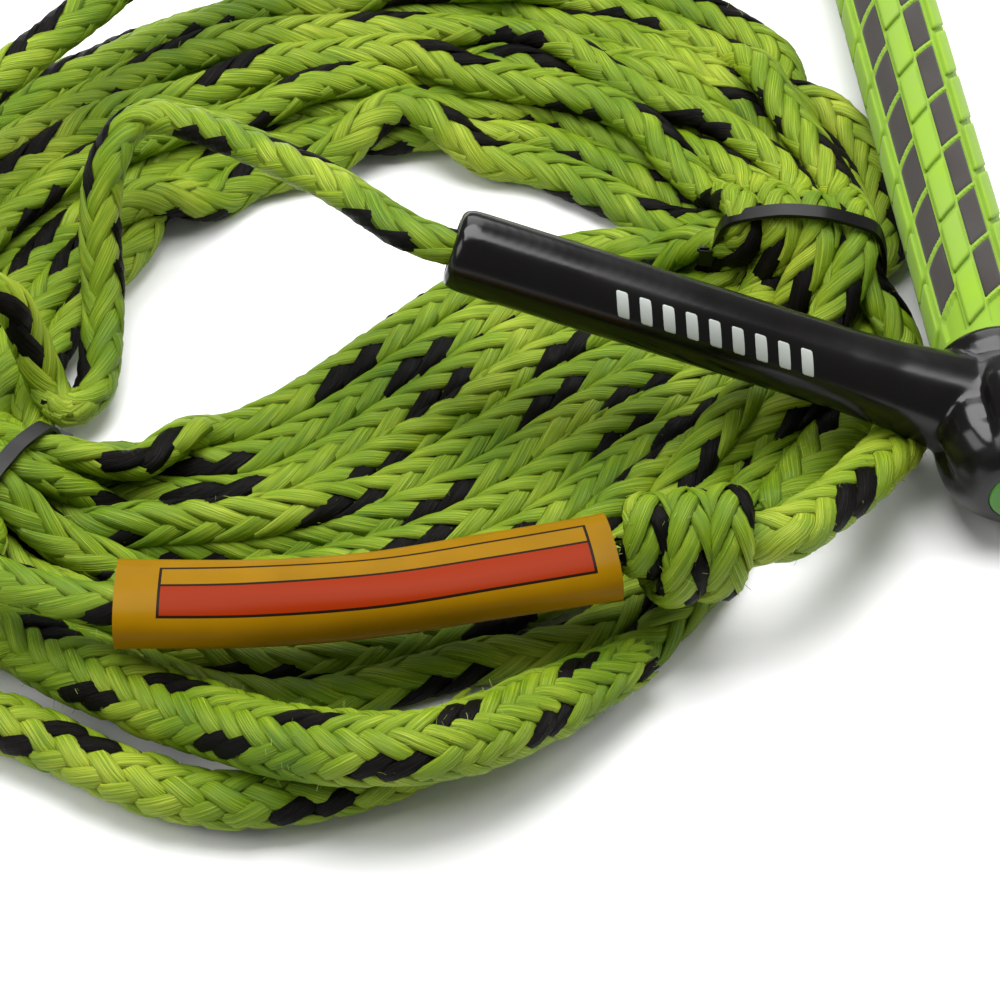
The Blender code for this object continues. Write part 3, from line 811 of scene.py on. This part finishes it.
def fibreTree():
    tree = bpy.data.node_groups.new("fibreNodes", "GeometryNodeTree")
    tree.interface.new_socket("Geometry", in_out="INPUT", socket_type="NodeSocketGeometry")
    tree.interface.new_socket("Geometry", in_out="OUTPUT", socket_type="NodeSocketGeometry")
    named = {}
    for label, value in fibre.items():
        kind = "NodeSocketInt" if isinstance(value, int) else "NodeSocketFloat"
        named[label] = tree.interface.new_socket(label, in_out="INPUT", socket_type=kind).identifier
    given = tree.nodes.new("NodeGroupInput").outputs
    result = tree.nodes.new("NodeGroupOutput")
    onRope = tree.nodes.new("GeometryNodeInputPosition")
    place = addNode(tree, "ShaderNodeSeparateXYZ", Vector=onRope.outputs[0])
    high = addNode(tree, "FunctionNodeCompare", {"operation": "GREATER_THAN"}, A=place.outputs[2],
                   B=given["Lowest"])
    spread = addNode(tree, "GeometryNodeDistributePointsOnFaces", Mesh=given["Geometry"], Seed=given["Seed"],
                     Density=given["Density"], Selection=high.outputs[0])
    stalk = addNode(tree, "GeometryNodeMeshCylinder", Vertices=3, Side_Segments=4, Radius=given["Thickness"],
                    Depth=given["Length"])
    onStalk = tree.nodes.new("GeometryNodeInputPosition")
    along = addNode(tree, "ShaderNodeSeparateXYZ", Vector=onStalk.outputs[0])
    square = addNode(tree, "ShaderNodeMath", {"operation": "MULTIPLY"})
    bent = addNode(tree, "ShaderNodeMath", {"operation": "MULTIPLY"})
    for socket in square.inputs[:2]:
        tree.links.new(along.outputs[2], socket)
    tree.links.new(square.outputs[0], bent.inputs[0])
    tree.links.new(given["Curl"], bent.inputs[1])
    offset = addNode(tree, "ShaderNodeCombineXYZ", X=bent.outputs[0])
    curled = addNode(tree, "GeometryNodeSetPosition", Geometry=stalk.outputs["Mesh"],
                     Offset=offset.outputs[0])
    low = addNode(tree, "ShaderNodeCombineXYZ", X=-0.2, Y=-0.6, Z=-3.1)
    tall = addNode(tree, "ShaderNodeCombineXYZ", X=given["Tilt"], Y=0.6, Z=3.1)
    swing = tree.nodes.new("FunctionNodeRandomValue")
    swing.data_type = "FLOAT_VECTOR"
    tree.links.new(low.outputs[0], swing.inputs[0])
    tree.links.new(tall.outputs[0], swing.inputs[1])
    turned = tree.nodes.new("FunctionNodeRotateRotation")
    turned.rotation_space = "LOCAL"
    tree.links.new(spread.outputs["Rotation"], turned.inputs[0])
    tree.links.new(swing.outputs[0], turned.inputs[1])
    size = tree.nodes.new("FunctionNodeRandomValue")
    size.inputs[2].default_value, size.inputs[3].default_value = 0.45, 1.25
    copies = addNode(tree, "GeometryNodeInstanceOnPoints", Points=spread.outputs["Points"],
                     Instance=curled.outputs[0], Rotation=turned.outputs[0], Scale=size.outputs[1])
    real = addNode(tree, "GeometryNodeRealizeInstances", Geometry=copies.outputs[0])
    painted = addNode(tree, "GeometryNodeSetMaterial", Geometry=real.outputs[0], Material=finishes["fibre"])
    tree.links.new(painted.outputs[0], result.inputs[0])
    return tree, named


grown = fibreTree()
for name, (density, seed) in fibreAmounts.items():
    tuft = bpy.data.objects.new("fibres_" + name, bpy.data.objects[name].data.copy())
    bpy.context.scene.collection.objects.link(tuft)
    change = tuft.modifiers.new("fibres", "NODES")
    change.node_group = grown[0]
    for label, value in dict(fibre, Density=density, Seed=seed).items():
        change[grown[1][label]] = value
    settle(tuft)
    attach(tuft, "rope")
    print(f"{tuft.name}: {len(tuft.data.polygons)} faces")

# handle: the two corner mouldings
corner = {
    "axisX": 64.65, "axisZ": 22.0, "jointY": 137.0, "mouth": (-83.35, 89.0, 60.0), "start": 116.0,
    "bulb": [(116.0, 15.4), (116.4, 16.6), (118.5, 17.7), (122.5, 17.9), (125.5, 17.0), (127.5, 17.2),
             (131, 18.6), (137, 21.3), (144, 22.0), (151, 21.3), (157, 19.0), (161, 16.0), (163.2, 13.6),
             (164.0, 11.6)],
    "endY": 164, "lobes": 6, "lobeDepth": 0.17, "boreRadius": 7.4, "voxel": 0.8, "soften": 14,
}
insertSize = {"radius": 10.3, "depth": 4.0, "play": 0.2}


def lobed(turns, along):
    y = along + corner["start"]
    strength = corner["lobeDepth"] * np.clip((y - 127) / 8, 0, 1) * np.clip((163 - y) / 14, 0, 1)
    return 1 - strength * (1 - np.abs(np.sin(corner["lobes"] * turns / 2))) ** 1.6


def cutAway(body, cutter, operation="DIFFERENCE"):
    change = body.modifiers.new("cut", "BOOLEAN")
    change.operation, change.solver, change.object = operation, "EXACT", cutter
    settle(body)
    bpy.data.objects.remove(cutter)


def densely(profile, step):
    profile = np.array(profile, float)
    run = runAlong(profile)
    at = np.unique(np.concatenate([np.arange(0, run[-1], step), run]))
    return list(zip(np.interp(at, run, profile[:, 0]), np.interp(at, run, profile[:, 1])))


for word, side in (("near", -1), ("far", 1)):
    name = "corner_" + word
    mouth = np.array([corner["mouth"][0], side * corner["mouth"][1], corner["mouth"][2]])
    root = np.array([corner["axisX"], side * corner["jointY"], corner["axisZ"]])
    reach = np.linalg.norm(root - mouth)
    heading = (0, side, 0)
    start = (corner["axisX"], side * corner["start"], corner["axisZ"])
    bulb = densely([(y - corner["start"], radius) for y, radius in corner["bulb"]], 0.9)
    made = skinRings(name + "_moulding", turnedRings(start, heading, bulb, 108, lobed), [finishes["corner"]])
    arm = [(0, 8.8), (0.25, 9.8), (1.0, 10.7), (2.4, 11.3), (5.5, 11.5), (reach * 0.70, 11.5),
           (reach * 0.79, 12.1), (reach * 0.87, 13.6), (reach - 8, 15.2), (reach, 13.2)]
    cutAway(made, skinRings("arm", turnedRings(mouth, root - mouth, densely(arm, 1.2), 80), []), "UNION")
    change = made.modifiers.new("melt", "REMESH")
    change.mode, change.voxel_size, change.use_smooth_shade = "VOXEL", corner["voxel"] * mm, True
    settle(made)
    change = made.modifiers.new("smooth", "SMOOTH")
    change.factor, change.iterations = 0.5, corner["soften"]
    settle(made)
    boreRadius = corner["boreRadius"]
    bore = turnedRings(mouth - unit(root - mouth) * 4, root - mouth,
                       [(0, 8.6), (4.2, 8.2), (5.2, boreRadius), (118, boreRadius)], 48)
    cutAway(made, skinRings("bore", bore, []))
    seat = (start[0], side * (corner["endY"] - insertSize["depth"]), start[2])
    pocketRadius = insertSize["radius"] + insertSize["play"]
    pocket = turnedRings(seat, heading, [(0, pocketRadius), (9, pocketRadius)], 64)
    cutAway(made, skinRings("pocket", pocket, []))
    made.data.materials.clear()
    made.data.materials.append(finishes["corner"])
    sharpen(made, 40)
    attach(made, "handle")
    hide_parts(name)
    dome = [(0.2, insertSize["radius"]), (3.8, insertSize["radius"]), (4.4, insertSize["radius"] - 0.3)]
    dome += [(4.6 + 0.5 * (1 - (radius / 9.6) ** 2), radius) for radius in np.linspace(9.6, 0.4, 14)]
    pad = skinRings("end_pad_" + word, turnedRings(seat, heading, dome, 64), [finishes["insert"]])
    sharpen(pad, 50)
    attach(pad, "handle")
    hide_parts("end_insert_" + word)
print("corners moulded")

# handle: the grip's green lattice, with a window for each black pad
grip = {"skinRadius": 14.1, "boreRadius": 12.6, "windowRadius": 12.95, "half": 115.6, "columns": 12,
        "pitch": 20.2, "lean": 0.95, "padLong": 18.0, "padWide": 7.0, "padHigh": 1.1, "padBase": 13.25,
        "blockLong": 18.2, "blockWide": 5.6, "blockHigh": 2.4, "blockTop": 15.6, "rim": 0.6,
        "edge": 0.5, "plainEnd": 3, "facesRound": 264, "facesLong": 300}


def lattice():
    across, along = grip["facesRound"], grip["facesLong"]
    turns = 2 * np.pi * np.arange(across) / across
    places = np.linspace(-grip["half"], grip["half"], along + 1)
    turn, y = np.meshgrid(turns, places)
    column = turn * grip["columns"] / (2 * np.pi)
    inColumn = (column % 1 - 0.5) * 2 * np.pi * grip["skinRadius"] / grip["columns"]
    windows = (np.floor(column) % 2 == 0)
    cell = (y - grip["lean"] * inColumn) / grip["pitch"]
    inCell = (cell % 1 - 0.5) * grip["pitch"]
    deep = np.minimum((grip["padWide"] + grip["rim"]) / 2 - np.abs(inColumn),
                      (grip["padLong"] + grip["rim"]) / 2 - np.abs(inCell))
    sunk = np.clip(deep / grip["edge"], 0, 1) * windows * (np.abs(y) < grip["half"] - grip["plainEnd"])
    radius = grip["skinRadius"] - sunk * (grip["skinRadius"] - grip["windowRadius"])

    def ringsAt(reach, turn, y):
        return np.stack([corner["axisX"] + reach * np.sin(turn), y,
                         corner["axisZ"] + reach * np.cos(turn)], -1)

    first, last = (ringsAt(grip["boreRadius"], turn[row], y[row])[None] for row in (0, -1))
    return np.concatenate([first, ringsAt(radius, turn, y), last])


rings = lattice()
rows, around = rings.shape[:2]
quads = tubeQuads(rows + 1, around, 0) % (rows * around)  # its bore closes the loop
skin = meshFrom("grip_lattice", rings.reshape(-1, 3) * mm, quads, [finishes["gripGreen"]])
shape = bmesh.new()
shape.from_mesh(skin.data)
bmesh.ops.recalc_face_normals(shape, faces=shape.faces)
shape.to_mesh(skin.data)
shape.free()
sharpen(skin, 50)
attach(skin, "handle")
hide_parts("grip_skin")


# pads and tread blocks laid out flat in rows, then wrapped round the bar
def wrappedPads(name, finish, settings, subdivide=2):
    tree = bpy.data.node_groups.new(name + "Nodes", "GeometryNodeTree")
    sockets = {}
    tree.interface.new_socket("Geometry", in_out="OUTPUT", socket_type="NodeSocketGeometry")
    for label, value in settings.items():
        kind = "NodeSocketInt" if isinstance(value, int) else "NodeSocketFloat"
        socket = tree.interface.new_socket(label, in_out="INPUT", socket_type=kind)
        sockets[label] = socket.identifier
    given = tree.nodes.new("NodeGroupInput").outputs
    result = tree.nodes.new("NodeGroupOutput")

    def sumOf(operation, a, b=None):
        made = addNode(tree, "ShaderNodeMath", {"operation": operation})
        for socket, value in zip(made.inputs, (a, b)):
            if isinstance(value, bpy.types.NodeSocket):
                tree.links.new(value, socket)
            elif value is not None:
                socket.default_value = value
        return made.outputs[0]

    def joined(x, y, z):
        made = tree.nodes.new("ShaderNodeCombineXYZ")
        for socket, value in zip(made.inputs, (x, y, z)):
            if isinstance(value, bpy.types.NodeSocket):
                tree.links.new(value, socket)
            else:
                socket.default_value = value
        return made.outputs[0]

    block = addNode(tree, "GeometryNodeMeshCube", Vertices_X=3, Vertices_Y=4, Vertices_Z=2,
                    Size=joined(given["Pad width"], given["Pad length"], given["Pad height"]))
    at = tree.nodes.new("GeometryNodeInputPosition").outputs[0]
    split = addNode(tree, "ShaderNodeSeparateXYZ", Vector=at).outputs
    sheared = addNode(tree, "GeometryNodeSetPosition", Geometry=block.outputs["Mesh"],
                      Offset=joined(0.0, sumOf("MULTIPLY", split[0], given["Lean"]), 0.0))
    rounded = addNode(tree, "GeometryNodeSubdivisionSurface", Mesh=sheared.outputs[0], Level=subdivide,
                      Edge_Crease=0.62, Vertex_Crease=0.35)
    grid = addNode(tree, "GeometryNodeMeshGrid", Vertices_X=given["Columns"], Vertices_Y=given["Rows"],
                   Size_X=sumOf("MULTIPLY", sumOf("SUBTRACT", given["Columns"], 1.0), given["Column step"]),
                   Size_Y=sumOf("MULTIPLY", sumOf("SUBTRACT", given["Rows"], 1.0), given["Pitch"]))
    shift = joined(given["Turn"], given["Shift"], 0.0)
    placed = addNode(tree, "GeometryNodeSetPosition", Geometry=grid.outputs["Mesh"], Offset=shift)
    copies = addNode(tree, "GeometryNodeInstanceOnPoints", Points=placed.outputs[0],
                     Instance=rounded.outputs[0])
    real = addNode(tree, "GeometryNodeRealizeInstances", Geometry=copies.outputs[0])
    onPads = tree.nodes.new("GeometryNodeInputPosition")
    spot = addNode(tree, "ShaderNodeSeparateXYZ", Vector=onPads.outputs[0]).outputs
    angle = sumOf("DIVIDE", spot[0], given["Bend radius"])
    height = sumOf("ADD", spot[2], given["Base radius"])
    wrapped = addNode(tree, "GeometryNodeSetPosition", Geometry=real.outputs[0],
                      Position=joined(sumOf("MULTIPLY", height, sumOf("SINE", angle)), spot[1],
                                      sumOf("MULTIPLY", height, sumOf("COSINE", angle))))
    painted = addNode(tree, "GeometryNodeSetMaterial", Geometry=wrapped.outputs[0], Material=finish)
    tree.links.new(painted.outputs[0], result.inputs[0])
    data = bpy.data.meshes.new(name)
    made = bpy.data.objects.new(name, data)
    bpy.context.scene.collection.objects.link(made)
    change = made.modifiers.new("pads", "NODES")
    change.node_group = tree
    for label, value in settings.items():
        change[sockets[label]] = value
    settle(made)
    return made


def placeAlong(made, start, ahead, out):  # turns a wrapped row to lie along a line, facing out
    ahead = unit(np.array(ahead, float))
    out = np.array(out, float)
    out = unit(out - ahead * (out @ ahead))
    turn = Matrix((np.cross(ahead, out), ahead, out)).transposed().to_4x4()
    made.data.transform(Matrix.Translation(Vector(start) * mm) @ turn @ Matrix.Scale(mm, 4))
    made.data.shade_smooth()


columnStep = 2 * math.pi * grip["skinRadius"] / grip["columns"]
pads = wrappedPads("grip_pads", finishes["gripBlack"], {
    "Columns": 6, "Rows": 11, "Column step": 2 * columnStep, "Pitch": grip["pitch"],
    "Pad width": grip["padWide"], "Pad length": grip["padLong"], "Pad height": grip["padHigh"],
    "Lean": grip["lean"],
    "Turn": 5.5 * columnStep, "Shift": grip["pitch"] / 2, "Bend radius": grip["skinRadius"],
    "Base radius": grip["padBase"]})
placeAlong(pads, (corner["axisX"], 0, corner["axisZ"]), (0, 1, 0), (0, 0, 1))
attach(pads, "handle")
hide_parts("grip_underlay")
blocks = wrappedPads("grip_tread", finishes["gripGreen"], {
    "Columns": 6, "Rows": 11, "Column step": 2 * columnStep, "Pitch": grip["pitch"],
    "Pad width": grip["blockWide"], "Pad length": grip["blockLong"], "Pad height": grip["blockHigh"],
    "Lean": grip["lean"],
    "Turn": 6.5 * columnStep, "Shift": 0.0, "Bend radius": grip["skinRadius"],
    "Base radius": grip["blockTop"] - grip["blockHigh"] / 2})
placeAlong(blocks, (corner["axisX"], 0, corner["axisZ"]), (0, 1, 0), (0, 0, 1))
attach(blocks, "handle")
print("grip covered")

# a plain run of slanted bars printed on each arm
mark = {"bars": 9, "pitch": 6.6, "barLong": 3.4, "barWide": 7.0, "barHigh": 0.12, "lean": 0.4,
        "middle": 75.0, "facing": (-0.10, -0.74, 0.62), "armRadius": 11.5, "proud": 0.02}
for word, side in (("near", -1), ("far", 1)):
    mouth = np.array([corner["mouth"][0], side * corner["mouth"][1], corner["mouth"][2]])
    root = np.array([corner["axisX"], side * corner["jointY"], corner["axisZ"]])
    bars = wrappedPads("arm_mark_" + word, finishes["print"], {
        "Columns": 1, "Rows": mark["bars"], "Column step": 1.0, "Pitch": mark["pitch"],
        "Pad width": mark["barWide"], "Pad length": mark["barLong"], "Pad height": mark["barHigh"],
        "Lean": mark["lean"], "Turn": 0.0, "Shift": 0.0, "Bend radius": mark["armRadius"],
        "Base radius": mark["armRadius"] + mark["proud"]}, subdivide=1)
    placeAlong(bars, mouth + unit(root - mouth) * mark["middle"], root - mouth, mark["facing"])
    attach(bars, "handle")

# parts of the frame that keep their own shape
for name, finish in (("bar_tube", "metal"), ("bar_float_core", "foam"), ("arm_rope_near", "green"),
                     ("arm_rope_far", "green")):
    kept = frame["nodes"][name]
    for place in kept.material_slots:
        place.material = finishes[finish]
    if not kept.material_slots:
        kept.data.materials.append(finishes[finish])
